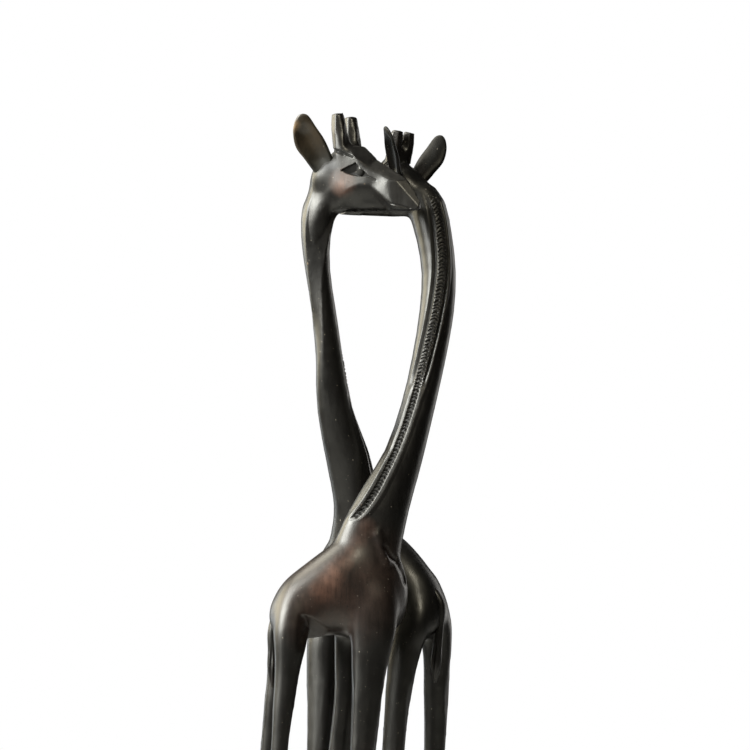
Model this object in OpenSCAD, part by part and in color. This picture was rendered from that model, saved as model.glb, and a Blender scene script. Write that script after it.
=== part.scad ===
// Pair of carved wooden giraffes with crossed necks, standing on one plinth.
// Millimetres. +X is the viewer's right, +Y runs away from the viewer, +Z is up.
// The origin is the middle of the plinth's underside.

/* [Plinth] */
// Length of the plinth along X
base_l = 168; // [160:1:190]
// Depth of the plinth along Y
base_w = 138; // [134:1:160]
// Thickness of the plinth
base_h = 20; // [16:0.5:26]
// Radius of the plinth's four vertical corners, seen from above
base_corner_r = 50; // [40:1:60]
// Size of the bevel round the plinth's top edge
base_bevel = 3; // [1:0.5:4]

/* [Giraffes] */
// Scale of the neck's thickness
neck_scale = 1; // [0.9:0.02:1.1]
// Scale of the legs' thickness
leg_scale = 1; // [0.9:0.02:1.15]
// Size of the front giraffe's head against the rear one's
front_head_scale = 0.9; // [0.8:0.02:1.1]

/* [Ears and tails] */
// Length of the rear giraffe's ears
rear_ear_len = 34; // [30:1:40]
// Length of the front giraffe's ears
front_ear_len = 33; // [28:1:36]
// Diameter of the peg on an ear or a tail
peg_d = 4; // [3:0.5:5]
// Depth of a tail's peg inside the rump
peg_depth = 7; // [5:0.5:9]

/* [Dowels] */
// Diameter of the dowel in each hoof
dowel_d = 4; // [3:0.5:5]
// Depth of the dowel in the plinth
dowel_in_base = 11; // [8:0.5:13]
// Depth of the dowel in the hoof
dowel_in_leg = 13; // [8:0.5:16]

/* [Detail] */
// Points round the cross-section of a body, neck or head
ring_points = 16; // [14:2:20]
// Points round the cross-section of a leg
leg_points = 10; // [8:2:14]

/* [Hidden] */

// Gap for glue round each peg and dowel.
glue_gap = 0.05;
up = [0, 0, 1];

// Index of each giraffe in the lists below, and of each leg.
FRONT = 0;
REAR = 1;
LEGS = ["fore_left", "fore_right", "hind_left", "hind_right"];

// Which way each giraffe's body faces, from +X towards +Y.
heading = [10, 150];
// Middle of each body, seen from above, and the body's length against the drawn one.
body_at = [[-5, -23], [20, 31]];
body_stretch = [1, 1.1];

// Trunks, from rump to chest: distance along the heading, height of the back and of the
// belly, half-width, and squareness of the section.
trunk = [
    [
        [-44.5, 271, 263, 3, 2],
        [-41, 279, 254, 11, 2],
        [-34, 290, 250, 16, 2.1],
        [-20, 301, 252, 18.5, 2.1],
        [-5, 312, 254, 19.5, 2.2],
        [10, 321, 255, 19.5, 2.2],
        [24, 320, 252, 18, 2.1],
        [36, 311, 254, 14, 2],
        [43.5, 301, 262, 8.5, 2],
        [47, 288, 272, 3, 2]
    ],
    [
        [-46, 274, 262, 3, 2],
        [-42, 287, 252, 11, 2],
        [-34, 299.5, 249, 16, 2.1],
        [-20, 315, 251, 18.5, 2.1],
        [-5, 325, 254, 19.5, 2.2],
        [10, 326, 256, 19.5, 2.2],
        [24, 321, 255, 18, 2.1],
        [33, 312, 258, 14, 2],
        [39, 302, 265, 8.5, 2],
        [42, 289, 274, 3, 2]
    ]
];

// Neck, from inside the trunk to the poll: place, the way the mane faces (degrees from +X
// towards +Y), half-width, half-depth towards the mane and half-depth towards the throat.
neck = [
    [
        [8, -22, 285, 190, 12, 22, 20],
        [16, -20, 305, 192, 13.5, 25, 20],
        [21.5, -19, 323, 196, 13, 24, 18.5],
        [26, -18, 340, 201, 12.3, 19, 18],
        [38, -13, 371, 212, 11.8, 12.4, 14.5],
        [48, -7, 403, 228, 11, 11.2, 12.2],
        [55.6, -1, 435, 248, 11.2, 11.2, 11.6],
        [61.2, 3, 467, 266, 11.6, 11.6, 11.6],
        [62.8, 6, 494, 280, 11.6, 12, 12],
        [60, 8, 518, 290, 12, 12.5, 13],
        [55.5, 10, 538, 298, 12.6, 12.5, 15],
        [50, 12, 552, 306, 10, 10.5, 10]
    ],
    [
        [12, 34, 285, -30, 12, 22, 22],
        [10, 32, 305, -28, 12.5, 21, 24],
        [9, 28, 323, -24, 12.5, 18, 19.5],
        [8, 23, 340, -19, 12, 15.5, 16.5],
        [2.2, 13, 371, -8, 11.5, 14, 15.6],
        [-5.2, 5, 403, 10, 10, 10, 13.6],
        [-10, -1, 435, 40, 8.8, 9, 11],
        [-14, -5, 467, 72, 8, 9.2, 9.2],
        [-18, -8, 494, 98, 8.3, 9.5, 9.8],
        [-19.6, -10, 517, 112, 9.6, 10, 14],
        [-18, -11, 536, 120, 10.6, 9.4, 18.5],
        [-14, -12, 552, 126, 8, 8, 9]
    ]
];

// Place of the poll, where neck and head meet, the head's turn about Z, and how far its
// nose is lifted.
poll = [[45.5, 11, 550], [-14, -12, 552]];
head_turn = [136, -30];
nose_up = [8, 0];
head_scale = [front_head_scale, 1];
ear_len = [front_ear_len, rear_ear_len];

// Head, from the nape to the lips: distance ahead of the poll, height of the section's
// middle, half-width, half-height above and below the middle, and squareness.
head = [
    [-10, -2, 3, 5, 7, 2],
    [-7, -1, 8, 10, 13, 2],
    [1, 0, 12.5, 16, 18.5, 2],
    [12, 1, 14.5, 20, 21, 2.1],
    [24, 1, 14.5, 22.5, 22, 2.3],
    [34, 0, 13, 21.5, 21.5, 2.6],
    [43, -3, 10.8, 16, 18.5, 2.9],
    [54, -9, 9.6, 14, 13, 3],
    [64, -13, 9.2, 11.6, 9.6, 3],
    [70, -16, 8.2, 7.6, 6.6, 2.7],
    [74, -18, 5, 4.4, 3.6, 2.3]
];

// How far each ossicone's top stands from the middle of the head, and the ossicone's
// diameter at its foot and top.
horn_spread = [6.6, 8.5];
horn_foot_d = 12.5;
horn_top_d = 9.4;
// Root and tip of the ear on the left, in the head's own frame; the right one is mirrored.
ear_root = [5, 11, 8];
ear_tip_out = 19;
ear_tip_ahead = [1.2, -3];
// Ear blade: part of its length, shift towards its front edge, half-width and half-thickness.
ear_rings = [
    [-0.15, 1.5, 5.5, 4], [0.03, 1.8, 7.8, 3.8], [0.25, 0.5, 9, 3.2], [0.5, -1.5, 10, 2.6],
    [0.75, -2.2, 8, 2.2], [0.9, -1.6, 5.8, 1.8], [0.98, -1, 4, 1.5], [1.02, -1, 2, 0.9]
];

// Legs, from inside the trunk to the hoof: place, half-length along the heading and
// half-width across it.
legs = [
    [
        [ // front giraffe, fore left
            [9, -14, 297, 9, 5], [7.5, -9.5, 276, 12.5, 8], [4.5, -6, 252, 12, 8.5],
            [3, -6, 232, 10.3, 7.5], [0.8, -5, 205, 8.7, 6.4], [-3.2, -4, 175, 7.6, 5.8],
            [-6, -3, 122, 6, 5.6], [-9, -1, 72, 4.5, 4.6], [-11, 0, 38, 4.8, 4.8]
        ],
        [ // front giraffe, fore right
            [19, -27, 301, 10, 5], [18.5, -31.5, 281, 15.5, 9], [19, -33, 258, 15.5, 9.5],
            [16.5, -34, 238, 12.8, 8.2], [13.8, -35, 205, 9.6, 6.8], [11, -36, 175, 7.6, 6],
            [8.3, -37, 122, 6.3, 5.8], [6, -38, 72, 4.6, 4.7], [4.5, -38.5, 38, 4.9, 4.9]
        ],
        [ // front giraffe, hind left
            [-32, -22, 288, 6, 5], [-36, -17, 274, 9, 9], [-38.5, -14.5, 258, 10.5, 9.5],
            [-41.5, -13, 238, 9.2, 8], [-46, -12, 205, 6.8, 6.2], [-50, -11, 175, 5.4, 5.2],
            [-54.5, -10, 122, 5.4, 5], [-57.5, -9, 72, 4.2, 4.3], [-59, -8.5, 38, 4.7, 4.7]
        ],
        [ // front giraffe, hind right
            [-28, -32, 290, 7, 5], [-31.5, -37, 275, 10.5, 9], [-34, -41, 257, 12, 9.5],
            [-36, -42, 238, 9.2, 8], [-39.5, -43.5, 205, 6.2, 6.2], [-42, -44.5, 175, 5.1, 5.2],
            [-46, -46, 122, 5.2, 5], [-49, -47, 72, 4.2, 4.3], [-50.5, -47.5, 38, 4.7, 4.7]
        ]
    ],
    [
        [ // rear giraffe, fore left
            [-5, 39.5, 297, 10, 5], [-9, 37, 275, 13, 8.5], [-14.5, 35, 252, 12, 9],
            [-16.5, 34, 232, 11.4, 8], [-16.5, 32, 205, 9.8, 6.8], [-17.9, 30, 175, 8.4, 6],
            [-19.8, 29, 122, 6.6, 5.8], [-20.5, 28, 72, 4.6, 4.7], [-21, 27, 38, 4.9, 4.9]
        ],
        [ // rear giraffe, fore right
            [5.5, 45, 298, 10, 5], [9, 49, 275, 13.5, 8.5], [14.5, 50, 252, 12, 9],
            [16.5, 50, 232, 10.5, 8], [16, 50, 205, 8.6, 6.8], [14, 50, 175, 7, 6],
            [9.5, 50.5, 122, 6, 5.8], [6.5, 51, 72, 4.6, 4.7], [4.5, 51, 38, 4.9, 4.9]
        ],
        [ // rear giraffe, hind left
            [46, 10.5, 293, 8, 5], [44, 6.5, 277, 12, 8.5], [42.5, 3, 257, 13, 9.5],
            [38.5, 1, 236, 11.4, 8.2], [34.5, 0, 205, 8, 6.6], [32, 0, 175, 7.4, 6],
            [27.6, 0, 122, 6, 5.6], [24, 0, 72, 4.6, 4.7], [22, 0, 38, 4.9, 4.9]
        ],
        [ // rear giraffe, hind right
            [54, 18.5, 291, 7.5, 5], [58, 22.5, 276, 10, 8.5], [61.4, 25, 257, 11.3, 9.5],
            [61.8, 27, 238, 10.3, 8.2], [61.2, 29, 205, 8.2, 6.6], [60.3, 30, 175, 7, 6],
            [57.6, 30, 122, 6, 5.6], [55.5, 30, 72, 4.6, 4.7], [53.5, 30, 38, 4.9, 4.9]
        ]
    ]
];
// Rings of fetlock and hoof below a leg's last place: height above the plinth, half-length
// and half-width.
hoof_rings = [[11, 5.6, 5.2], [2, 7.4, 6.2], [0, 7.4, 6.2]];
// Tails, from the rump down to the tuft: place and half-width.
tails = [
    [[-39, -27.5, 279, 2.6], [-43.5, -28, 270, 2.8], [-46.7, -28, 257, 3.2],
     [-46.8, -27.7, 244, 3.1], [-46.8, -27.7, 232, 3.3], [-46.8, -27.7, 220, 1]],
    [[58, 8, 283, 2.8], [63.8, 5.4, 272, 3.2], [63.3, 6, 258, 2.5],
     [61.5, 7, 244, 3.4], [60.5, 7.5, 232, 3.6], [60, 8, 220, 1]]
];
// Which place of each tail is on its peg, where the tail comes out of the rump.
tail_root = [2, 1];

// ---- Curves and lofts ----

// Catmull-Rom curve through p1 and p2, at t from 0 to 1.
function curve(p0, p1, p2, p3, t) =
    0.5 * (2 * p1 + (p2 - p0) * t + (2 * p0 - 5 * p1 + 4 * p2 - p3) * t * t
        + (3 * p1 - p0 - 3 * p2 + p3) * t * t * t);

// The rows of a list with extra rows between them, on a smooth curve.
function smooth_rows(rows, steps) = let (n = len(rows)) concat(
    [for (i = [0:n - 2]) for (j = [0:steps - 1])
        curve(rows[max(i - 1, 0)], rows[i], rows[i + 1], rows[min(i + 2, n - 1)], j / steps)],
    [rows[n - 1]]
);

function unit(v) = v / norm(v);
function power(x, e) = sign(x) * pow(abs(x), e);

// One closed ring of points. A section is [place, along, top, half-width, above, below,
// squareness]: top is the way its upper side faces, and along the way the loft runs.
function ring(s, count) =
    let (along = unit(s[1]), side = unit(cross(s[2], along)), top = cross(along, side))
    [for (k = [0:count - 1])
        let (a = 360 * k / count, x = power(cos(a), 2 / s[6]), y = power(sin(a), 2 / s[6]))
        s[0] + side * s[3] * x + top * (y > 0 ? s[4] : s[5]) * y];

// Skin over a list of sections.
module loft(sections, count) {
    n = len(sections);
    points = [for (s = sections) each ring(s, count)];
    walls = [for (i = [0:n - 2]) for (k = [0:count - 1])
        let (a = i * count + k, b = i * count + (k + 1) % count)
        each [[a, a + count, b], [b, a + count, b + count]]];
    first = [for (k = [0:count - 1]) k];
    last = [for (k = [count - 1:-1:0]) (n - 1) * count + k];
    polyhedron(points, concat([first], walls, [last]));
}

// Way that a list of rows runs at row i, from its first three numbers.
function xyz(row) = [row[0], row[1], row[2]];
function run_at(rows, i) = xyz(rows[min(i + 1, len(rows) - 1)]) - xyz(rows[max(i - 1, 0)]);

// ---- Giraffe ----

function facing(g) = [cos(heading[g]), sin(heading[g]), 0];

function trunk_sections(g) = [for (r = smooth_rows(trunk[g], 2))
    let (middle = (r[1] + r[2]) / 2, half_height = (r[1] - r[2]) / 2)
    [[body_at[g][0], body_at[g][1], middle] + facing(g) * r[0] * body_stretch[g],
     facing(g), up, r[3], half_height, half_height, r[4]]];

function neck_sections(g) = let (rows = smooth_rows(neck[g], 2)) [for (i = [0:len(rows) - 1])
    let (r = rows[i])
    [xyz(r), run_at(rows, i), [cos(r[3]), sin(r[3]), 0],
     r[4] * neck_scale, r[5] * neck_scale, r[6] * neck_scale, 2]];

function head_sections() = [for (r = smooth_rows(head, 2))
    [[r[0], 0, r[1]], [1, 0, 0], up, r[2], r[3], r[4], r[5]]];

function hoof_at(g, leg) = let (last = legs[g][leg][len(legs[g][leg]) - 1]) [last[0], last[1], base_h];

function leg_sections(g, leg) = let (rows = smooth_rows(legs[g][leg], 2)) concat(
    [for (i = [0:len(rows) - 1]) let (r = rows[i])
        [xyz(r), run_at(rows, i), facing(g),
         r[4] * leg_scale, r[3] * leg_scale, r[3] * leg_scale, 2.2]],
    [for (r = hoof_rings)
        [hoof_at(g, leg) + r[0] * up, -up, facing(g), r[2], r[1], r[1], 2.2]]);

module in_head(g) {
    translate(poll[g]) rotate([0, -nose_up[g], head_turn[g]]) scale(head_scale[g]) children();
}

module ossicone(g, side) {
    foot = [20, (horn_spread[g] - 1) * side, 14];
    tip = [15, horn_spread[g] * side, 44];
    way = tip - foot;
    translate(foot) rotate([0, acos(way[2] / norm(way)), atan2(way[1], way[0])])
        cylinder(h = norm(way), d1 = horn_foot_d, d2 = horn_top_d, $fn = 24);
}

module carving(g) {
    loft(trunk_sections(g), ring_points);
    loft(neck_sections(g), ring_points);
    in_head(g) {
        loft(head_sections(), ring_points);
        for (side = [1, -1]) ossicone(g, side);
    }
    for (leg = [0:3]) loft(leg_sections(g, leg), leg_points);
}

// Straight line of a peg, from outside the carving to its blind end.
module peg(outside, inside, radius) {
    way = inside - outside;
    turn = atan2(way[1], way[0]);
    tilt = atan2(norm([way[0], way[1]]), way[2]);
    translate(outside) rotate([0, tilt, turn]) cylinder(h = norm(way), r = radius, $fn = 24);
}

// Ear blade in the head's own frame, for the left side.
function ear_sections(g) =
    let (length = ear_len[g] / head_scale[g],
        tip = ear_root + [ear_tip_ahead[g], ear_tip_out, length],
        run = tip - ear_root,
        out = [0.35, 1, 0],
        forward = unit(cross(out, run)))
    [for (r = smooth_rows(ear_rings, 2))
        [ear_root + run * r[0] + forward * r[1], run, out, r[2], r[3], r[3], 2]];

function ear_peg_outer() = ear_root + [-1, 5, 8];
function ear_peg_inner() = ear_root + [2, -4.5, -4];

module on_side(side) {
    if (side == 0) children();
    else mirror([0, 1, 0]) children();
}

module ear_peg(g, side, radius) {
    in_head(g) on_side(side)
        peg(ear_peg_outer(), ear_peg_inner(), radius / head_scale[g]);
}

function tail_sections(g) = let (rows = smooth_rows(tails[g], 2)) [for (i = [0:len(rows) - 1])
    let (r = rows[i]) [xyz(r), run_at(rows, i), -facing(g), r[3], r[3], r[3], 2]];

module tail_peg(g, radius) {
    root = xyz(tails[g][tail_root[g]]);
    peg(root - 1.5 * facing(g), root + (peg_depth + 2) * facing(g), radius);
}

// ---- Nodes ----

module giraffe(g) {
    color([0.07, 0.055, 0.045]) difference() {
        carving(g);
        for (side = [0, 1]) ear_peg(g, side, peg_d / 2 + glue_gap);
        tail_peg(g, peg_d / 2 + glue_gap);
        for (leg = [0:3]) translate(hoof_at(g, leg) - [0, 0, 1])
            cylinder(h = dowel_in_leg + 1 + glue_gap, d = dowel_d + 2 * glue_gap, $fn = 24);
    }
}

module ear(g, side) {
    color([0.08, 0.06, 0.05]) {
        difference() {
            in_head(g) on_side(side) loft(ear_sections(g), leg_points);
            in_head(g) {
                loft(head_sections(), ring_points);
                for (horn = [1, -1]) ossicone(g, horn);
            }
            loft(neck_sections(g), ring_points);
        }
        ear_peg(g, side, peg_d / 2);
    }
}

module tail(g) {
    color([0.08, 0.06, 0.05]) {
        difference() {
            loft(tail_sections(g), leg_points);
            loft(trunk_sections(g), ring_points);
            for (leg = [2, 3]) loft(leg_sections(g, leg), leg_points);
        }
        tail_peg(g, peg_d / 2);
    }
}

module base() {
    color([0.06, 0.045, 0.035]) difference() {
        hull() {
            base_block(0, base_h - base_bevel);
            base_block(base_bevel, base_h);
        }
        for (g = [FRONT, REAR]) for (leg = [0:3])
            translate(hoof_at(g, leg) - [0, 0, dowel_in_base + glue_gap])
                cylinder(h = dowel_in_base + 1, d = dowel_d + 2 * glue_gap, $fn = 24);
    }
}

// Rounded slab of the plinth, drawn in from its sides by inset.
module base_block(inset, height) {
    for (x = [-1, 1], y = [-1, 1])
        translate([x * (base_l / 2 - base_corner_r), y * (base_w / 2 - base_corner_r), 0])
            cylinder(h = height, r = base_corner_r - inset, $fn = 48);
}

module dowel(g, leg) {
    color([0.62, 0.45, 0.28]) translate(hoof_at(g, leg) - [0, 0, dowel_in_base])
        cylinder(h = dowel_in_base + dowel_in_leg, d = dowel_d, $fn = 24);
}

GIRAFFES = ["front", "rear"];
base();
for (g = [FRONT, REAR]) {
    giraffe(g);
    for (side = [0, 1])
        ear(g, side);
    tail(g);
    for (leg = [0:3])
        dowel(g, leg);
}
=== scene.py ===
"""Looks of the pair of carved giraffes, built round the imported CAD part.

Carving is done in millimetres on points in the part's own frame, and each finished mesh is
scaled to metres. Heads are described in their own frame: ahead, to the left and up from
the poll, where the neck meets the head.
"""
import math

import bmesh
import bpy
import numpy as np
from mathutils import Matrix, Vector


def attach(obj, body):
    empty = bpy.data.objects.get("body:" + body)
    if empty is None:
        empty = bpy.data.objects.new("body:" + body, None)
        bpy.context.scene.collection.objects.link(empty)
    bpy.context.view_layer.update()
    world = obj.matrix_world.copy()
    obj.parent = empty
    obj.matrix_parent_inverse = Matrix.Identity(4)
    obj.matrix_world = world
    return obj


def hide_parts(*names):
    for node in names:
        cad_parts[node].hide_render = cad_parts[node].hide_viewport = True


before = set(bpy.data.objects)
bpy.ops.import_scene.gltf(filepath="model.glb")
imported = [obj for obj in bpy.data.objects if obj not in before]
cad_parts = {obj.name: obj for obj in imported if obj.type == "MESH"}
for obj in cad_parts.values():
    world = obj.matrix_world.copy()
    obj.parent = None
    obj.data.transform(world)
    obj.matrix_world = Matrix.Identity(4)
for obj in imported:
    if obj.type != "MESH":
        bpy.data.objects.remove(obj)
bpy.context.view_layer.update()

MM = 0.001

# Grain of the voxels that a carving is first made of, in millimetres.
VOXEL = 1.3
BASE_VOXEL = 1.6
# Depth of a fine cut, in millimetres, from which on it gets the full painted shade.
CUT_SHADE_DEPTH = 1.2

GIRAFFES = ("front", "rear")
LEGS = ("fore_left", "fore_right", "hind_left", "hind_right")
# Which way each body faces, in degrees from +X towards +Y.
HEADING = {"front": 10, "rear": 150}
# Poll, turn of the head about Z, lift of the nose and size of the head.
POLL = {"front": (45.5, 11, 550), "rear": (-14, -12, 552)}
HEAD_TURN = {"front": 136, "rear": -30}
NOSE_UP = {"front": 8, "rear": 0}
HEAD_SCALE = {"front": 0.9, "rear": 1.0}

# Neck from the withers to the nape: place, way the mane faces in degrees, and half-depth
# towards the mane.
NECK = {
    "front": [
        (21.5, -19, 323, 208, 24), (26, -18, 340, 234, 17), (38, -13, 371, 243, 12.4),
        (48, -7, 403, 249, 11.2), (55.6, -1, 435, 257, 11.2), (61.2, 3, 467, 268, 11.6),
        (62.8, 6, 494, 280, 12), (60, 8, 518, 290, 12.5), (55.5, 10, 538, 298, 12.5),
        (48, 12, 556, 306, 9),
    ],
    "rear": [
        (9, 28, 323, -24, 18), (8, 23, 340, -19, 15.5), (2.2, 13, 371, -8, 14),
        (-5.2, 5, 403, 10, 10), (-10, -1, 435, 40, 9), (-14, -5, 467, 72, 9.2),
        (-18, -8, 494, 98, 9.5), (-19.6, -10, 517, 112, 10), (-18, -11, 536, 120, 10),
        (-14, -12, 556, 126, 8),
    ],
}
# Tail from the rump to the tip of its tuft: place and half-width.
TAIL = {
    "front": [(-39, -27.5, 279, 2.6), (-43.5, -28, 270, 2.8), (-46.7, -28, 257, 3.2),
              (-46.8, -27.7, 244, 3.1), (-46.8, -27.7, 232, 3.3), (-46.8, -27.7, 220.5, 0.9)],
    "rear": [(58, 8, 283, 2.8), (63.8, 5.4, 272, 3.1), (63.3, 6, 258, 2.5),
             (61.5, 7, 244, 3.4), (60.5, 7.5, 232, 3.6), (60, 8, 220.5, 0.9)],
}
# How far each ossicone stands from the middle of the head.
HORN_SPREAD = {"front": 6.6, "rear": 8.5}
# Ears: root, how far out and up the tip is from it, and how far ahead.
EAR_ROOT = (5, 11, 8)
EAR_OUT = 19
EAR_LENGTH = {"front": 33, "rear": 34}
EAR_AHEAD = {"front": 1.2, "rear": -3}
# Ear blade: part of its length, shift towards its front edge, half-width, half-thickness.
EAR = [(-0.3, 1, 3.6, 3), (-0.12, 1.5, 5.8, 3.5), (0.03, 1.8, 7.6, 3.4), (0.25, 0.5, 8.8, 2.9),
       (0.5, -1.5, 9.8, 2.4), (0.75, -2.2, 7.8, 2), (0.9, -1.6, 5.6, 1.6), (0.975, -1, 3.6, 1.2),
       (1.01, -1, 1.4, 0.6)]


# ---- Sums on arrays of points ----

def unit(v):
    v = np.asarray(v, float)
    return v / np.linalg.norm(v, axis=-1, keepdims=True)


def smooth_rows(rows, steps):
    """Rows of numbers on a Catmull-Rom curve through the given ones."""
    rows = np.asarray(rows, float)
    padded = np.vstack([rows[:1], rows, rows[-1:]])
    out = []
    for p0, p1, p2, p3 in zip(padded, padded[1:], padded[2:], padded[3:]):
        for t in np.arange(steps) / steps:
            out.append(0.5 * (2 * p1 + (p2 - p0) * t + (2 * p0 - 5 * p1 + 4 * p2 - p3) * t**2
                              + (3 * p1 - p0 - 3 * p2 + p3) * t**3))
    return np.array(out + [rows[-1]])


def fade(distance, inner, outer):
    """1 up to inner and 0 from outer on, smooth in between."""
    t = np.clip((outer - distance) / (outer - inner), 0, 1)
    return t * t * (3 - 2 * t)


def path_distance(points, path):
    """Distance from each point to the nearest place on a line of points."""
    path = np.asarray(path, float)
    best = np.full(len(points), np.inf)
    for a, b in zip(path, path[1:]):
        run = b - a
        t = np.clip((points - a) @ run / (run @ run), 0, 1)
        best = np.minimum(best, np.linalg.norm(points - a - t[:, None] * run, axis=1))
    return best


# ---- A mesh that is carved ----

class Carving:
    """Points of a closed mesh in millimetres, and the cuts that can be made in them."""

    def __init__(self, mesh):
        self.mesh = mesh
        self.read()

    def read(self):
        flat = np.empty(len(self.mesh.vertices) * 3)
        self.mesh.vertices.foreach_get("co", flat)
        self.points = flat.reshape(-1, 3) / MM
        ends = np.empty(len(self.mesh.edges) * 2, int)
        self.mesh.edges.foreach_get("vertices", ends)
        self.ends = ends.reshape(-1, 2)
        self.neighbours = np.bincount(ends, minlength=len(self.points))[:, None]

    def write(self):
        self.mesh.vertices.foreach_set("co", (self.points * MM).ravel())
        self.mesh.update()

    def facings(self):
        """Way that the surface faces at each point."""
        self.write()
        flat = np.empty(len(self.points) * 3)
        self.mesh.vertex_normals.foreach_get("vector", flat)
        return flat.reshape(-1, 3)

    def drift(self):
        """From each point to the middle of its neighbours."""
        a, b = self.ends.T
        count = len(self.points)
        middle = np.stack([np.bincount(a, p[b], count) + np.bincount(b, p[a], count)
                           for p in self.points.T], axis=1)
        return middle / self.neighbours - self.points

    def smooth(self, rounds):
        """Evens out the surface without shrinking it."""
        for _ in range(rounds):
            self.points += 0.5 * self.drift()
            self.points -= 0.52 * self.drift()

    def soften(self, rounds, where):
        """Rounds off edges and evens out dents alike."""
        for _ in range(rounds):
            self.points += 0.5 * where[:, None] * self.drift()

    def fill(self, rounds, where=1.0):
        """Rounds out hollows, as between a leg and the belly, and leaves what bulges alone."""
        for i in range(rounds):
            if i % 8 == 0:
                facings = self.facings()
            outward = np.maximum((self.drift() * facings).sum(axis=1), 0)
            self.points += facings * (0.6 * where * outward)[:, None]

    def push(self, amount, ways=None):
        """Moves the surface out by amount, or in where it is negative."""
        ways = self.facings() if ways is None else ways
        self.points += ways * amount[:, None]

    def cut(self, at, facing, where):
        """Planes off what stands beyond the flat through at."""
        facing = unit(facing)
        beyond = np.maximum((self.points - at) @ facing, 0)
        self.points -= (beyond * where)[:, None] * facing

    def mark_cuts(self, height):
        """Leaves the depth of the fine cuts on the mesh, for the painted shade that darkens them.
        """
        cut = self.mesh.attributes.new("cut", "FLOAT", "POINT")
        cut.data.foreach_set("value", np.clip(-height / CUT_SHADE_DEPTH, 0, 1))

    def finer(self, where):
        """Halves the grid where it is marked."""
        self.write()
        grid = bmesh.new()
        grid.from_mesh(self.mesh)
        edges = [e for e in grid.edges if where[e.verts[0].index] and where[e.verts[1].index]]
        bmesh.ops.subdivide_edges(grid, edges=edges, cuts=1, use_grid_fill=True)
        grid.to_mesh(self.mesh)
        grid.free()
        self.read()


def placed(name, data):
    """A new object in the scene."""
    made = bpy.data.objects.new(name, data)
    bpy.context.scene.collection.objects.link(made)
    return made


def remeshed(node, voxel):
    """The outside of a CAD node as an even grid, in a new mesh."""
    rough = placed("rough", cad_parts[node].data.copy())
    remesh = rough.modifiers.new("remesh", "REMESH")
    remesh.mode = "VOXEL"
    remesh.voxel_size = voxel * MM
    graph = bpy.context.evaluated_depsgraph_get()
    mesh = bpy.data.meshes.new_from_object(rough.evaluated_get(graph))
    bpy.data.objects.remove(rough)
    mesh.materials.clear()
    return mesh


def piece(name, mesh, material, slot, *nodes):
    """A finished piece that stands for the named CAD nodes."""
    for face in mesh.polygons:
        face.use_smooth = True
    made = placed(name, mesh)
    mesh.materials.append(material)
    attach(made, "root")
    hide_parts(*nodes)


# ---- Frames of the head and the neck ----

class Head:
    """A giraffe's head frame: x ahead of the poll, y to its left, z up, in millimetres."""

    def __init__(self, giraffe):
        turn = math.radians(HEAD_TURN[giraffe])
        lift = math.radians(NOSE_UP[giraffe])
        ahead = (math.cos(turn) * math.cos(lift), math.sin(turn) * math.cos(lift), math.sin(lift))
        left = (-math.sin(turn), math.cos(turn), 0)
        self.axes = np.array([ahead, left, np.cross(ahead, left)])
        self.poll = np.array(POLL[giraffe], float)
        self.scale = HEAD_SCALE[giraffe]

    def inside(self, points):
        """World points in the head's frame."""
        return (points - self.poll) @ self.axes.T / self.scale

    def outside(self, points):
        """Points of the head's frame in the world."""
        return np.asarray(points, float) @ self.axes * self.scale + self.poll

    def facing(self, way):
        return np.asarray(way, float) @ self.axes


class Spine:
    """Smooth line up a neck, with the way its mane faces at each place."""

    def __init__(self, rows):
        rows = smooth_rows(rows, 20)
        self.places = rows[:, :3]
        self.along = unit(np.gradient(self.places, axis=0))
        turn = np.radians(rows[:, 3])
        level = np.stack([np.cos(turn), np.sin(turn), np.zeros(len(rows))], axis=1)
        self.side = unit(np.cross(level, self.along))
        self.mane = np.cross(self.along, self.side)
        self.depth = rows[:, 4]
        steps = np.linalg.norm(np.diff(self.places, axis=0), axis=1)
        self.travel = np.concatenate([[0], np.cumsum(steps)])

    def nearest(self, points):
        """Number of the place on the spine that is nearest to each point."""
        square = (self.places**2).sum(axis=1) - 2 * points @ self.places.T
        return square.argmin(axis=1)

    def locate(self, points):
        """Distance up the neck, across it, out towards the mane, and mane depth, per point."""
        nearest = self.nearest(points)
        away = points - self.places[nearest]
        up = self.travel[nearest] + (away * self.along[nearest]).sum(axis=1)
        across = (away * self.side[nearest]).sum(axis=1)
        out = (away * self.mane[nearest]).sum(axis=1)
        return up, across, out, self.depth[nearest]

    def mane_ways(self, points):
        """Way from the spine out to the mane, per point."""
        return self.mane[self.nearest(points)]


# ---- Giraffe ----

# Mane: half-width of its band and of the channel beside it, pitch and slant of its notches.
BAND = 3.0
CHANNEL = 1.9
NOTCH_PITCH = 2.5
NOTCH_SLANT = 0.55
# Part of the way up the neck where the raised, notched band gives way to a notched channel.
MANE_CHANGE = 0.42

# Flats of the face: a place on each in the head's frame, the way it faces, and how far ahead
# of the poll it begins and ends. One that faces sideways is repeated, mirrored, on the right.
FACE_FLATS = [
    ((32, 0, 21.9), (0.683, 0, 0.73), 28, 44), ((43, 0, 11.8), (0.532, 0, 0.847), 44, 90),
    ((64, 0, -1.4), (0.812, 0, 0.584), 60, 90), ((32, 0, 22.2), (0.59, 0.5, 0.635), 26, 44),
    ((43, 0, 12.1), (0.45, 0.53, 0.72), 44, 90), ((64.3, 0, -0.6), (0.66, 0.64, 0.39), 54, 90),
    ((74.4, 0, -8), (0.42, 0.9, 0.12), 54, 90),
]
# Middle of the head, and how far from it the carving of the face reaches.
HEAD_MIDDLE = (38, 0, -4)
FACE_REACH = 50
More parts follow.
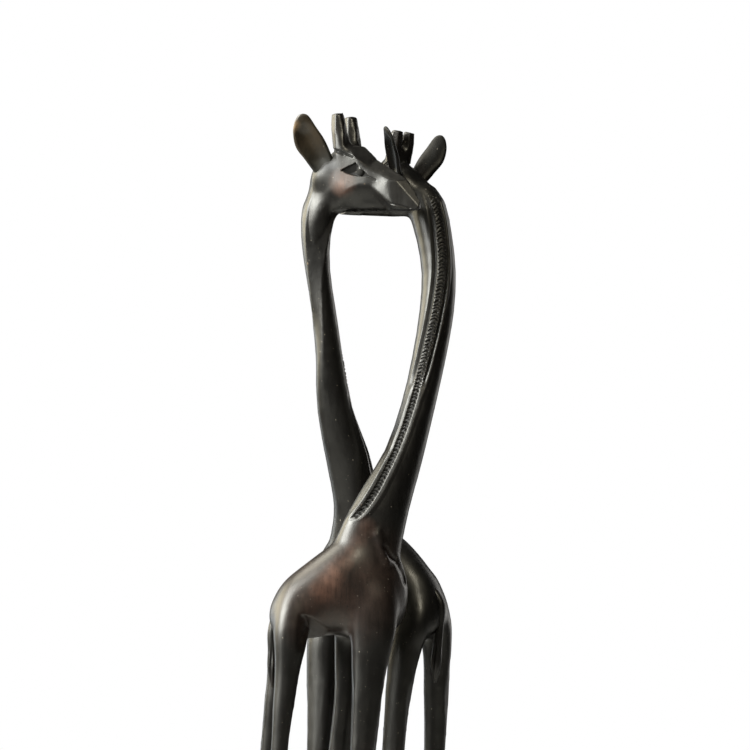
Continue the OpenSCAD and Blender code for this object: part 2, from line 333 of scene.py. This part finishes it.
# Upper and lower lid, edge of the hollow under the cheek, mouth and the chisel lines of the
# brow, all as places ahead and up on the side of the head.
UPPER_LID = [(20.4, 6), (26, 8.6), (31, 10.6), (33.6, 7.6), (37, 5), (41, 0.6)]
LOWER_LID = [(20.4, 6), (25, 3.6), (30, 2), (34, 1.3), (41, 0.4)]
CHEEK_EDGE = [(8, -22), (16, -14), (22, -8.5), (27.2, -5), (34, -2.6), (41, -3), (44.5, -5.7),
              (49.5, -10.8), (54, -16), (60, -22)]
MOUTH = [(54.5, -17.2), (61, -18.9), (67, -20.8)]
BROW_LINES = [[(10, 21.6), (20, 18.6), (29, 14.6)], [(11, 20), (17, 18.4), (22.5, 16.2)]]
TEAR_LINE = [(40, 0.9), (45, -1.6)]
NOSTRIL = [(68, -9.6), (70.6, -12)]
# Middle of the eyeball on the side of the head, ahead and up, and its radius.
EYEBALL = (33.6, 4.9)
EYEBALL_RADIUS = 3

# Places of the head's frame where it flows into the horns, the nape and the throat: centre
# and how far the filling reaches.
HEAD_JOINTS = [((20, 0, 18), 16, 24), ((-4, 0, 2), 17, 26), ((10, 0, -22), 15, 24)]
NAPE = (-8, 0, 2)
# Height of the middle of both bodies.
BODY_MIDDLE = 285


def near_face(local, reach):
    return np.linalg.norm(local - HEAD_MIDDLE, axis=1) < reach


def blend_joints(carving, head):
    """Turns the CAD model's meeting solids into one flowing surface."""
    carving.smooth(6)
    carving.fill(120)
    local = head.inside(carving.points)
    joints = [fade(np.linalg.norm(local - place, axis=1), inner, outer)
              for place, inner, outer in HEAD_JOINTS]
    carving.fill(300, np.max(joints, axis=0))
    body = fade(np.abs(carving.points[:, 2] - BODY_MIDDLE), 50, 75)
    carving.fill(600, body)
    nape = fade(np.linalg.norm(local - NAPE, axis=1), 10, 20)
    carving.soften(60, np.maximum(body, nape))
    carving.push(0.7 * body)
    carving.smooth(12)


# Soft folds of the front body as lines of places across and up, seen from its right side:
# width and depth, negative for a ridge.
FOLDS = [
    ([(26, 312), (30, 306), (34.5, 302), (38, 295), (40.5, 288)], 5, 1.5),
    ([(21.5, 321), (25, 311), (28, 301)], 9, -1.2),
    ([(16, 322.8), (21, 321.8), (27, 320.6)], 1.6, 0.8),
]
SCARS = [(18.4, 321.4), (20.6, 323.4), (23, 320), (25.2, 322.2), (27.8, 321.6), (21.8, 325)]


def fold_height(points, facings):
    """Height of the folds and scars on the side that faces -Y."""
    height = np.zeros(len(points))
    close = (facings[:, 1] < -0.2) & (points[:, 1] < -18) & (np.abs(points[:, 2] - 305) < 30)
    flat = points[close][:, (0, 2)]
    for path, width, depth in FOLDS:
        near = np.clip(1 - path_distance(flat, path) / (width / 2), 0, 1)
        height[close] -= depth * near * near * (3 - 2 * near)
    for place in SCARS:
        gap = np.linalg.norm(flat - place, axis=1)
        height[close] -= 0.7 * fade(gap, 0.3, 1.1)
    return height


def mane_height(up, across, length):
    """Height of the mane's carving: a notched band above, a notched channel below."""
    uneven = 0.35 * np.sin(0.9 * up) + 0.25 * np.sin(2.3 * up + 1.7 * across)
    slanted = up + uneven + NOTCH_SLANT * np.abs(across)
    wave = 0.5 - 0.5 * np.cos(2 * np.pi * slanted / NOTCH_PITCH)
    notches = np.maximum(0, 1 - 2.2 * wave)
    band = fade(np.abs(across), BAND - 0.5, BAND + 0.2)
    channel = np.clip(1 - np.abs(across - BAND - CHANNEL) / CHANNEL, 0, 1)
    line = np.clip(1 - np.abs(across + BAND + 0.9) / 0.9, 0, 1)
    ridge = np.clip(1 - np.abs(across + BAND + 2.6) / 1.2, 0, 1)
    high = band * (0.8 - 1.1 * notches) - 1.7 * channel - 1.1 * line + 0.5 * ridge
    groove = fade(np.abs(across), 1.2, 2.4)
    strip = np.clip(1 - np.abs(np.abs(across) - 4.2) / 2, 0, 1)
    low = -groove * (0.9 + 1.1 * notches) + 0.5 * strip
    change = fade(up / length, MANE_CHANGE - 0.06, MANE_CHANGE + 0.06)
    return high * (1 - change) + low * change


def carve_mane(carving, spine):
    up, across, out, depth = spine.locate(carving.points)
    length = spine.travel[-1]
    ends = fade(up, length - 34, length - 8) * fade(-up, -7, -1)
    on_back = (out > 0.45 * depth) * (out < 1.6 * depth) * (np.abs(across) < 9) * ends
    height = mane_height(up, across, length) * on_back
    carving.push(height)
    return height


def near_mane(carving, spine, reach):
    up, across, out, depth = spine.locate(carving.points)
    return (np.abs(across) < reach) * (out > 0.4 * depth) * (out < 1.6 * depth) * (up > -4)


# How far the flat of the neck is turned from straight opposite the mane, in degrees, how far up
# the neck it lies, and how deep it may cut.
NECK_FLAT_TURN = 25
NECK_FLAT_MIDDLE = 182
NECK_FLAT_DEPTH = 4


def carve_neck_flat(carving, spine):
    """A long flat down the neck, on the side away from the mane and turned a little."""
    up, across, out, depth = spine.locate(carving.points)
    turn = math.radians(NECK_FLAT_TURN)
    ahead = -out * math.cos(turn) - across * math.sin(turn)
    beyond = np.clip(ahead - 0.8 * depth, 0, NECK_FLAT_DEPTH)
    where = fade(np.abs(up - NECK_FLAT_MIDDLE), 15, 88)
    inward = spine.mane_ways(carving.points)
    carving.points += inward * (beyond * where)[:, None]


def carve_face_planes(carving, head):
    """Flats of the brow, nose and muzzle, of the cheeks and of the jaw."""
    local = head.inside(carving.points)
    on_head = near_face(local, FACE_REACH + 2)
    for place, (ahead, out, high), start, end in FACE_FLATS:
        reach = fade(-local[:, 0], 1.5 - start, 4 - start) * fade(local[:, 0], end - 2, end + 0.5)
        for side in (1, -1) if out else (1,):
            facing = head.facing((ahead, out * side, high))
            carving.cut(head.outside(place), facing, on_head * reach)
    on_side = fade(local[:, 2], 8, 25) * fade(-local[:, 0], -14, -6) * on_head
    before_muzzle = fade(np.abs(local[:, 0] - 50), 4, 11) * fade(local[:, 2], -3, 5) * on_head
    on_jaw = fade(-local[:, 0], -14, -9) * on_head
    for side in (1, -1):
        facing = head.facing((0.17, 0.97 * side, 0.08))
        carving.cut(head.outside((30, 12.6 * side, 0)), facing, on_side)
    carving.cut(head.outside((30, 0, -20.4)), head.facing((-0.03, 0, -1)), on_jaw)
    for side in (1, -1):
        facing = head.facing((0, 0.98 * side, 0.16))
        carving.cut(head.outside((47, 9 * side, -4)), facing, before_muzzle)
    x, y, z = head.inside(carving.points).T
    cheeks = fade(x, 48, 60) * fade(-np.abs(y), -8, -6) * fade(z, 6, 13) * on_head
    carving.soften(25, cheeks)


# Swelling round the root of an ear: its middle on the left of the head, and its height.
EAR_SOCKET = np.array([4, 11, 6])
EAR_SOCKET_HEIGHT = 2.6


def swell_ear_sockets(carving, head):
    """Swelling of the head round the root of each ear."""
    local = head.inside(carving.points)
    for side in (1, -1):
        gap = np.linalg.norm(local - EAR_SOCKET * (1, side, 1), axis=1)
        carving.push(EAR_SOCKET_HEIGHT * fade(gap, 1, 15))


# Ways that the flats of an ossicone face, in degrees from ahead.
HORN_FLATS = (0, 62, 118, 180, 240, 300)


def carve_ossicones(carving, head, spread):
    """Flats on the sides of each ossicone, above the swell of its foot."""
    local = head.inside(carving.points)
    for side in (1, -1):
        foot = np.array([20, (spread - 1) * side, 14])
        tip = np.array([15, spread * side, 44])
        way = unit(tip - foot)
        along = (local - foot) @ way
        from_axis = np.linalg.norm(local - foot - along[:, None] * way, axis=1)
        on_horn = fade(from_axis, 7.5, 9) * fade(-along, -22, -13)
        for turn in HORN_FLATS:
            out = np.array([math.cos(math.radians(turn)), math.sin(math.radians(turn)) * side, 0])
            flat = foot + way * 20 + out * 4.7
            carving.cut(head.outside(flat), head.facing(out + 0.05 * way), on_horn)


def side_line(local, side, path, width, depth):
    """Height of a V cut along a line on the side of the head."""
    close = (local[:, 1] * side > 2) & near_face(local, FACE_REACH)
    near = np.zeros(len(local))
    gap = path_distance(local[close][:, (0, 2)], path)
    near[close] = np.clip(1 - gap / (width / 2), 0, 1)
    return -depth * near


def eye_height(local, side):
    """A sunk almond with a low eyeball, a tear line and chisel lines over it."""
    x, y, z = local.T
    on_side = (y * side > 4) & near_face(local, FACE_REACH)
    upper = np.interp(x, *zip(*UPPER_LID), left=-99)
    lower = np.interp(x, *zip(*LOWER_LID), right=99)
    sunk = fade(-np.minimum(upper - z, z - lower), -0.6, 0.1) * on_side
    from_middle = (x - EYEBALL[0])**2 + (z - EYEBALL[1])**2
    ball = np.clip(1 - from_middle / EYEBALL_RADIUS**2, 0, 1) ** 0.5
    deep = np.clip(1 + 0.5 * (upper - z), 1, 3.4)
    height = sunk * (ball * 1.8 - deep)
    height = height + side_line(local, side, TEAR_LINE, 1.4, 0.5)
    for path in BROW_LINES:
        height = height + side_line(local, side, path, 1.7, 0.9)
    return height


def cheek_height(local, side):
    """Hollow between the cheek and the jaw, sideways, and the mouth and nostril."""
    x, y, z = local.T
    on_side = (y * side > 1) & near_face(local, FACE_REACH)
    edge = np.interp(x, *zip(*CHEEK_EDGE), left=-99, right=-99)
    hollow = (1 - fade(edge - z, 0, 12)) * fade(-z, 21, 25) * on_side
    lines = side_line(local, side, MOUTH, 1.4, 0.7)
    lines = lines + side_line(local, side, NOSTRIL, 2.4, 1)
    return -4 * hollow + lines


# Heights at which a leg is measured, how far from its last middle its points are looked for,
# how much it is swollen, and where its flats lie between its middle (0) and its edge (1).
LEG_HEIGHTS = np.arange(24, 226, 6)
LEG_REACH = 13
LEG_SWELL = 0.07
LEG_FLAT = 0.85


def follow_leg(points, foot):
    """Middle of a leg at heights from its hoof to where it meets the body."""
    middle, rows = np.array(foot), []
    for height in LEG_HEIGHTS:
        level = points[np.abs(points[:, 2] - height) < 4, :2]
        close = level[np.linalg.norm(level - middle, axis=1) < LEG_REACH]
        middle = (close.max(axis=0) + close.min(axis=0)) / 2
        rows.append((height, *middle))
    return np.array(rows)


def carve_leg(carving, rows, heading):
    """Swells a leg a little and cuts four long flats, which leave its edges crisp."""
    z = carving.points[:, 2]
    middle = np.stack([np.interp(z, rows[:, 0], rows[:, i]) for i in (1, 2)], axis=1)
    away = carving.points[:, :2] - middle
    on_leg = (np.linalg.norm(away, axis=1) < 14) * fade(z, 205, 236) * fade(-z, -44, -34)
    away *= 1 + LEG_SWELL * on_leg[:, None]
    carving.points[:, :2] = middle + away
    for turn in range(0, 360, 90):
        turn = math.radians(heading + turn)
        way = np.array([math.cos(turn), math.sin(turn)])
        reach = away @ way
        edge = [reach[(np.abs(z - height) < 5) & (on_leg > 0)].max(initial=9)
                for height in rows[:, 0]]
        flat = LEG_FLAT * np.interp(z, rows[:, 0], edge)
        beyond = np.maximum(reach - flat, 0) * on_leg
        carving.points[:, :2] -= beyond[:, None] * way


def carve_belly(carving):
    """A chamfer under the front body's right side, between its legs."""
    x, y, z = carving.points.T
    under = fade(np.abs(x + 14), 11, 17) * (y < -20) * fade(np.abs(z - 258), 9, 13)
    carving.cut((-14, -41, 263), (-0.12, -0.62, -0.77), under)


def swell_haunch(carving):
    """The round muscle of the rear body's right haunch."""
    gap = np.linalg.norm(carving.points - (62, -9, 261), axis=1)
    towards = np.clip(-carving.facings()[:, 1], 0, 1)
    carving.push(5 * fade(gap, 2, 25) * towards)


def carve_legs(carving, giraffe):
    for leg in LEGS:
        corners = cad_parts[f"{giraffe}_dowel_{leg}"].bound_box
        foot = np.mean(corners, axis=0)[:2] / MM
        carve_leg(carving, follow_leg(carving.points, foot), HEADING[giraffe])


# How far from its poll a head reaches, and half the width of the strips along the mane that get
# the finer and the finest grid.
HEAD_REACH = 90
FINER_STRIP = 9
FINEST_STRIP = 7.5


def refine(carving, head, spine):
    """A finer grid on the head and along the mane, and the finest at the eyes."""
    local = head.inside(carving.points)
    in_head = (local[:, 0] > -12) * (np.linalg.norm(local, axis=1) < HEAD_REACH)
    carving.finer(in_head | near_mane(carving, spine, FINER_STRIP))
    carving.smooth(3)
    local = head.inside(carving.points)
    eyes = (np.abs(local[:, 0] - 30) < 15) * (np.abs(local[:, 2] - 6) < 13)
    in_head = np.linalg.norm(local, axis=1) < HEAD_REACH
    carving.finer((eyes & in_head) | near_mane(carving, spine, FINEST_STRIP))
    carving.smooth(2)


def carve_detail(carving, head, spine):
    """Cheeks, mouth, eyes and mane. Returns the height of the cuts, which get painted shade."""
    local = head.inside(carving.points)
    for side in (1, -1):
        carving.push(cheek_height(local, side), head.facing((0, side, 0)))
    eyes = sum(eye_height(local, side) for side in (1, -1))
    carving.push(eyes)
    # The eyes count twice, so that their hollows get the full painted shade.
    return 2 * eyes + carve_mane(carving, spine)


def carve_giraffe(giraffe):
    head = Head(giraffe)
    spine = Spine(NECK[giraffe])
    carving = Carving(remeshed(f"{giraffe}_giraffe", VOXEL))
    blend_joints(carving, head)
    carve_legs(carving, giraffe)
    carve_face_planes(carving, head)
    swell_ear_sockets(carving, head)
    carve_ossicones(carving, head, HORN_SPREAD[giraffe])
    if giraffe == "rear":
        carve_neck_flat(carving, spine)
        swell_haunch(carving)
    else:
        carve_belly(carving)
        carving.push(fold_height(carving.points, carving.facings()))
    refine(carving, head, spine)
    height = carve_detail(carving, head, spine)
    carving.write()
    carving.mark_cuts(height)
    return carving.mesh


# ---- Ears, tails and plinth ----

def grid_mesh(name, rings):
    """Closed skin over rings of points in millimetres, its two ends capped."""
    rings = np.asarray(rings)
    count = rings.shape[1]
    faces = []
    for i in range(len(rings) - 1):
        for k in range(count):
            a, b = i * count + k, i * count + (k + 1) % count
            faces.append((a, b, b + count, a + count))
    faces.append(tuple(range(count))[::-1])
    faces.append(tuple((len(rings) - 1) * count + k for k in range(count)))
    mesh = bpy.data.meshes.new(name)
    mesh.from_pydata((rings.reshape(-1, 3) * MM).tolist(), [], faces)
    grid = bmesh.new()
    grid.from_mesh(mesh)
    bmesh.ops.recalc_face_normals(grid, faces=grid.faces)
    grid.to_mesh(mesh)
    grid.free()
    return mesh


# Points round an ear and round a tail.
EAR_SIDES = 56
TAIL_SIDES = 40


def ear_mesh(giraffe, side):
    """Leaf-shaped blade, dished on its outer face, with a bevelled rim."""
    head = Head(giraffe)
    root = np.array(EAR_ROOT, float)
    run = np.array([EAR_AHEAD[giraffe], EAR_OUT, EAR_LENGTH[giraffe] / head.scale])
    out = np.array([0.35, 1, 0])
    along = unit(run)
    thin = unit(out - along * (out @ along))
    wide = np.cross(thin, along)
    rings = []
    for part, shift, half, thick in smooth_rows(EAR, 8):
        dish = 1.6 * fade(abs(part - 0.42), 0.2, 0.5)
        ring = []
        for turn in np.arange(EAR_SIDES) * math.tau / EAR_SIDES:
            x, y = math.cos(turn), math.sin(turn)
            x = math.copysign(abs(x) ** 0.85, x)
            level = y * thick - (dish * max(0, 1 - x * x * 1.5) * 2.2 if y > 0 else 0)
            level += 0.6 * dish * x * x
            point = root + run * part + wide * (half * x + shift) + thin * level
            ring.append(point * (1, side, 1))
        rings.append(head.outside(ring))
    return grid_mesh("ear", rings)


def tail_mesh(giraffe):
    """Slim tail with a tuft of carved strands."""
    rows = smooth_rows(TAIL[giraffe], 10)
    along = unit(np.gradient(rows[:, :3], axis=0))
    turn = math.radians(HEADING[giraffe])
    back = np.array([-math.cos(turn), -math.sin(turn), 0])
    rings = []
    for row, way in zip(rows, along):
        side = unit(np.cross(back, way))
        top = np.cross(way, side)
        strands = 0.55 * fade(row[2], 236, 252)
        ring = []
        for k in range(TAIL_SIDES):
            a = math.tau * k / TAIL_SIDES
            radius = row[3] * (1 - 0.22 * strands * (1 + math.cos(7 * a + 0.12 * row[2])))
            ring.append(row[:3] + (side * math.cos(a) + top * math.sin(a)) * radius)
        rings.append(ring)
    return grid_mesh("tail", rings)


# Plinth: how many tool marks there are round it, their depth in millimetres, and how far the
# skin stays inside the CAD model's box.
MARKS = 34
MARK_DEPTH = 0.35
BOX_MARGIN = 0.001


def base_mesh():
    """The plinth, with a soft edge and shallow tool marks round its side."""
    carving = Carving(remeshed("base", BASE_VOXEL))
    low, high = carving.points.min(axis=0), carving.points.max(axis=0)
    carving.smooth(14)
    x, y, z = carving.points.T
    upright = 1 - np.abs(carving.facings()[:, 2])
    around = MARKS * np.arctan2(y, x) + 0.4 * z
    uneven = 0.6 + 0.4 * np.sin(0.37 * around)
    carving.push(-MARK_DEPTH * upright * (0.5 + 0.5 * np.sin(around)) * uneven)
    carving.points = np.clip(carving.points, low + BOX_MARGIN, high - BOX_MARGIN)
    carving.write()
    return carving.mesh


# ---- Materials ----

class Paint:
    """A material's node tree, with short ways to add and join nodes."""

    def __init__(self, name):
        self.material = bpy.data.materials.new(name)
        self.material.use_nodes = True
        self.tree = self.material.node_tree
        self.shader = self.tree.nodes["Principled BSDF"]
        self.place = self.tree.nodes.new("ShaderNodeTexCoord").outputs["Object"]

    def add(self, kind, **inputs):
        made = self.tree.nodes.new("ShaderNode" + kind)
        for name, value in inputs.items():
            self.join(value, made.inputs[name.replace("_", " ")])
        return made

    def join(self, value, socket):
        if isinstance(value, bpy.types.NodeSocket):
            self.tree.links.new(value, socket)
        else:
            socket.default_value = value

    def stretched(self, scale):
        return self.add("Mapping", Vector=self.place, Scale=scale).outputs["Vector"]

    def noise(self, place, scale, detail, distortion=0.0):
        made = self.add("TexNoise", Vector=place, Scale=scale, Detail=detail,
                        Distortion=distortion)
        return made.outputs["Fac"]

    def ramp(self, value, low, high, at_low=0.0, at_high=1.0):
        made = self.add("MapRange", Value=value)
        for index, number in enumerate((low, high, at_low, at_high), 1):
            made.inputs[index].default_value = number
        return made.outputs["Result"]

    def sum(self, operation, a, b):
        made = self.tree.nodes.new("ShaderNodeMath")
        made.operation = operation
        self.join(a, made.inputs[0])
        self.join(b, made.inputs[1])
        return made.outputs[0]

    def mix(self, part, a, b):
        made = self.tree.nodes.new("ShaderNodeMix")
        made.data_type = "RGBA"
        self.join(part, made.inputs[0])
        self.join(a, made.inputs[6])
        self.join(b, made.inputs[7])
        return made.outputs[2]

    def bump(self, height, strength, distance, under=None):
        made = self.add("Bump", Height=height, Strength=strength, Distance=distance)
        if under:
            self.join(under, made.inputs["Normal"])
        return made.outputs["Normal"]

    def spots(self, places):
        """How near each point is to the listed places, each with its radius and strength."""
        total = 0.0
        for centre, radius, strength in places:
            gap = self.tree.nodes.new("ShaderNodeVectorMath")
            gap.operation = "DISTANCE"
            self.join(self.place, gap.inputs[0])
            gap.inputs[1].default_value = [c * MM for c in centre]
            near = self.ramp(gap.outputs["Value"], radius * 1.6 * MM, 0, 0, strength)
            total = self.sum("MAXIMUM", total, near)
        return total


# Places where the brown wood shows through the black stain, each with its radius and strength.
# Some are stain rubbed thin; the line along the lower edge of the front body's highlight, the
# rear head's cheek, the rim of its right ear and, more faintly, the rest of that ear are painted
# copper sheen.
RUBBED_AND_SHEEN = [((14, -42, 324), 8, 1), ((9, -43, 317), 8, 1), ((4, -43, 310), 7, 1),
          ((-1, -43, 303), 7, 1), ((-6, -43, 296), 7.5, 1), ((-10, -44, 290), 8, 1),
          ((-14, -44, 284), 8, 1),
          ((-10, -42, 278), 26, 0.3), ((16, -38, 290), 26, 0.22), ((-1, -33, 550), 7, 1),
          ((-33, -38, 586), 4, 1.6), ((-24, -34, 582), 13, 0.35)]

# Places where the wax is dull, listed in the same way.
DULL = [((-9, -29, 560), 10, 0.35)]


def carved_wood(name, brown, stain, specular=0.45, coat=0.12):
    """Dark stained and waxed wood: streaked grain, rubbed places with painted copper sheen, worn
    edges, dust, and painted shade in the fine cuts.
    """
    paint = Paint(name)
    grain_place = paint.stretched((1, 1, 0.08))
    streaks = paint.noise(grain_place, 420, 6, 0.4)
    pores = paint.ramp(paint.noise(grain_place, 1700, 2), 0.6, 0.7)
    patches = paint.noise(paint.place, 19, 3, 0.8)
    mottle = paint.noise(paint.place, 90, 5)
    # The brown shows where the stain is thin, and as painted copper sheen at the places listed
    # for it.
    thin = paint.sum("MULTIPLY", paint.spots(RUBBED_AND_SHEEN), paint.ramp(mottle, 0.3, 0.6, 0.5, 1))
    thin = paint.sum("MAXIMUM", thin, paint.ramp(patches, 0.58, 0.85, 0, 0.08))
    thin = paint.sum("MULTIPLY", thin, paint.ramp(streaks, 0.3, 0.6, 0.65, 1))
    colour = paint.mix(thin, stain, brown)
    edge = paint.add("NewGeometry").outputs["Pointiness"]
    worn = paint.sum("MULTIPLY", paint.ramp(edge, 0.54, 0.62), paint.ramp(mottle, 0.45, 0.6))
    colour = paint.mix(paint.sum("MULTIPLY", worn, 0.55), colour, (0.16, 0.10, 0.055, 1))
    colour = paint.mix(paint.sum("MULTIPLY", pores, 0.6), colour, (0.004, 0.003, 0.003, 1))
    # Painted shade in the fine cuts: the deeper the cut, the nearer to black and the rougher it
    # is.
    painted_cut_shade = paint.tree.nodes.new("ShaderNodeAttribute")
    painted_cut_shade.attribute_name = "cut"
    painted_cut_shade = paint.ramp(painted_cut_shade.outputs["Fac"], 0.1, 0.8)
    colour = paint.mix(painted_cut_shade, colour, (0.002, 0.0018, 0.0016, 1))
    dust = paint.ramp(paint.noise(paint.place, 750, 1), 0.76, 0.79)
    colour = paint.mix(paint.sum("MULTIPLY", dust, 0.5), colour, (0.30, 0.26, 0.20, 1))
    rough = paint.ramp(streaks, 0.25, 0.75, 0.32, 0.42)
    rough = paint.sum("ADD", rough, paint.ramp(mottle, 0.4, 0.7, 0, 0.08))
    rough = paint.sum("ADD", rough, paint.spots(DULL))
    rough = paint.sum("ADD", rough, paint.sum("MULTIPLY", dust, 0.3))
    rough = paint.sum("ADD", rough, paint.sum("MULTIPLY", painted_cut_shade, 0.4))
    normal = paint.bump(mottle, 0.3, 0.0005)
    normal = paint.bump(paint.noise(paint.place, 2400, 3), 0.12, 0.0002, normal)
    normal = paint.bump(streaks, 0.22, 0.0002, normal)
    paint.join(colour, paint.shader.inputs["Base Color"])
    paint.join(rough, paint.shader.inputs["Roughness"])
    paint.join(normal, paint.shader.inputs["Normal"])
    paint.shader.inputs["Specular IOR Level"].default_value = specular
    paint.shader.inputs["Specular Tint"].default_value = (1, 0.96, 0.86, 1)
    paint.shader.inputs["Coat Weight"].default_value = coat
    paint.shader.inputs["Coat Roughness"].default_value = 0.2
    return paint.material


def dowel_wood():
    """Bare, straight-grained pale wood."""
    paint = Paint("dowel_wood")
    streaks = paint.noise(paint.stretched((1, 1, 0.06)), 900, 5)
    colour = paint.mix(streaks, (0.36, 0.22, 0.11, 1), (0.62, 0.45, 0.26, 1))
    paint.join(colour, paint.shader.inputs["Base Color"])
    paint.join(paint.ramp(streaks, 0.2, 0.8, 0.5, 0.7), paint.shader.inputs["Roughness"])
    paint.join(paint.bump(streaks, 0.3, 0.0002), paint.shader.inputs["Normal"])
    return paint.material


# ---- Stage ----

def aim(made, place, target):
    """Puts a lamp or the camera at place, looking at target."""
    made.location = place
    made.rotation_euler = (Vector(target) - Vector(place)).to_track_quat("-Z", "Y").to_euler()


def softbox(name, place, size, power, colour):
    lamp = bpy.data.lights.new(name, "AREA")
    lamp.shape = "RECTANGLE"
    lamp.size, lamp.size_y = size
    lamp.energy = power
    lamp.color = colour
    lamp.spread = math.radians(75)
    aim(placed(name, lamp), place, AIM)


# Brightness of the backdrop, and of the dim room that the wood reflects.
BACKDROP = 1.0
ROOM = 0.03
# Lamps: name, place, width and height in metres, power in watts and colour. All aim at AIM.
AIM = (0, 0, 0.38)
LAMPS = [
    ("key", (-1.33, -0.65, 1.1), (1.1, 1.4), 27, (0.96, 0.99, 1)),
    ("left", (-1.42, 0.45, 0.85), (1.0, 1.0), 5, (1, 0.92, 0.7)),
    ("top", (-0.6, 0.35, 1.75), (1.1, 1.1), 6, (1, 0.97, 0.86)),
    ("front", (0.3, -0.85, 1.1), (0.25, 0.25), 0.8, (1, 0.95, 0.8)),
    ("rim_left", (-1.1, 1.0, 0.5), (0.5, 1.4), 1.2, (0.9, 0.96, 1)),
    ("rim_right", (1.2, 1.1, 0.6), (0.5, 1.4), 1, (1, 0.98, 0.95)),
]


def studio():
    """White backdrop for the camera, a dim room for the wood, and soft lamps."""
    world = bpy.data.worlds.new("studio")
    bpy.context.scene.world = world
    world.use_nodes = True
    tree = world.node_tree
    shade = tree.nodes["Background"]
    shade.inputs["Color"].default_value = (1, 1, 1, 1)
    path = tree.nodes.new("ShaderNodeLightPath")
    strength = tree.nodes.new("ShaderNodeMapRange")
    strength.inputs["To Min"].default_value = ROOM
    strength.inputs["To Max"].default_value = BACKDROP
    tree.links.new(path.outputs["Is Camera Ray"], strength.inputs["Value"])
    tree.links.new(strength.outputs["Result"], shade.inputs["Strength"])
    for lamp in LAMPS:
        softbox(*lamp)
    bpy.context.scene.view_settings.view_transform = "Standard"


# Floor: its radius, and where it begins and ends to fade out.
FLOOR_RADIUS = 0.9
FLOOR_FADE = (0.25, 0.85)


def floor():
    """Pale round floor that fades into the backdrop."""
    mesh = bpy.data.meshes.new("floor")
    grid = bmesh.new()
    bmesh.ops.create_circle(grid, cap_ends=True, radius=FLOOR_RADIUS, segments=96)
    grid.to_mesh(mesh)
    grid.free()
    paint = Paint("floor")
    away = paint.tree.nodes.new("ShaderNodeVectorMath")
    away.operation = "LENGTH"
    paint.join(paint.place, away.inputs[0])
    paint.join(paint.ramp(away.outputs["Value"], *FLOOR_FADE, 1, 0), paint.shader.inputs["Alpha"])
    paint.shader.inputs["Base Color"].default_value = (0.5, 0.5, 0.49, 1)
    paint.shader.inputs["Roughness"].default_value = 0.8
    mesh.materials.append(paint.material)
    made = placed("floor", mesh)


# Camera: its place, what it aims at, and its lens in millimetres.
CAMERA = (0.020, -1.5, 0.355)
CAMERA_AIM = (0.020, 0, 0.4253)
LENS = 108


def camera():
    lens = bpy.data.cameras.new("camera")
    lens.lens = LENS
    lens.sensor_width = 36
    made = placed("camera", lens)
    aim(made, CAMERA, CAMERA_AIM)
    bpy.context.scene.camera = made


# ---- The object ----

camera()
studio()
floor()
black_wood = carved_wood("carved_wood", (0.105, 0.052, 0.034, 1), (0.0032, 0.0028, 0.0025, 1))
base_wood = carved_wood("base_wood", (0.09, 0.045, 0.024, 1), (0.010, 0.0085, 0.007, 1))
# Two copies of the ears' wood: the rear giraffe's has a lighter colour, which is painted light,
# and more specular; the front giraffe's has less specular and no coat.
ear_wood = {
    "front": carved_wood("front_ear_wood", (0.11, 0.05, 0.024, 1),
                         (0.003, 0.0028, 0.0022, 1), 0.12, 0),
    "rear": carved_wood("rear_ear_wood_painted_light", (0.12, 0.075, 0.036, 1),
                        (0.007, 0.0066, 0.0044, 1), 0.5, 0),
}
pale_wood = dowel_wood()
for giraffe in GIRAFFES:
    body = f"{giraffe}_giraffe"
    piece(f"{body}_carving", carve_giraffe(giraffe), black_wood, "carved_wood", body)
    for side, way in (("left", 1), ("right", -1)):
        ear = f"{giraffe}_ear_{side}"
        piece(f"{ear}_carving", ear_mesh(giraffe, way), ear_wood[giraffe], "ear_wood", ear)
    tail = f"{giraffe}_tail"
    piece(f"{tail}_carving", tail_mesh(giraffe), black_wood, "tail_wood", tail)
    for leg in LEGS:
        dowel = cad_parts[f"{giraffe}_dowel_{leg}"]
        dowel.data.materials.clear()
        dowel.data.materials.append(pale_wood)
piece("plinth_carving", base_mesh(), base_wood, "base_wood", "base")
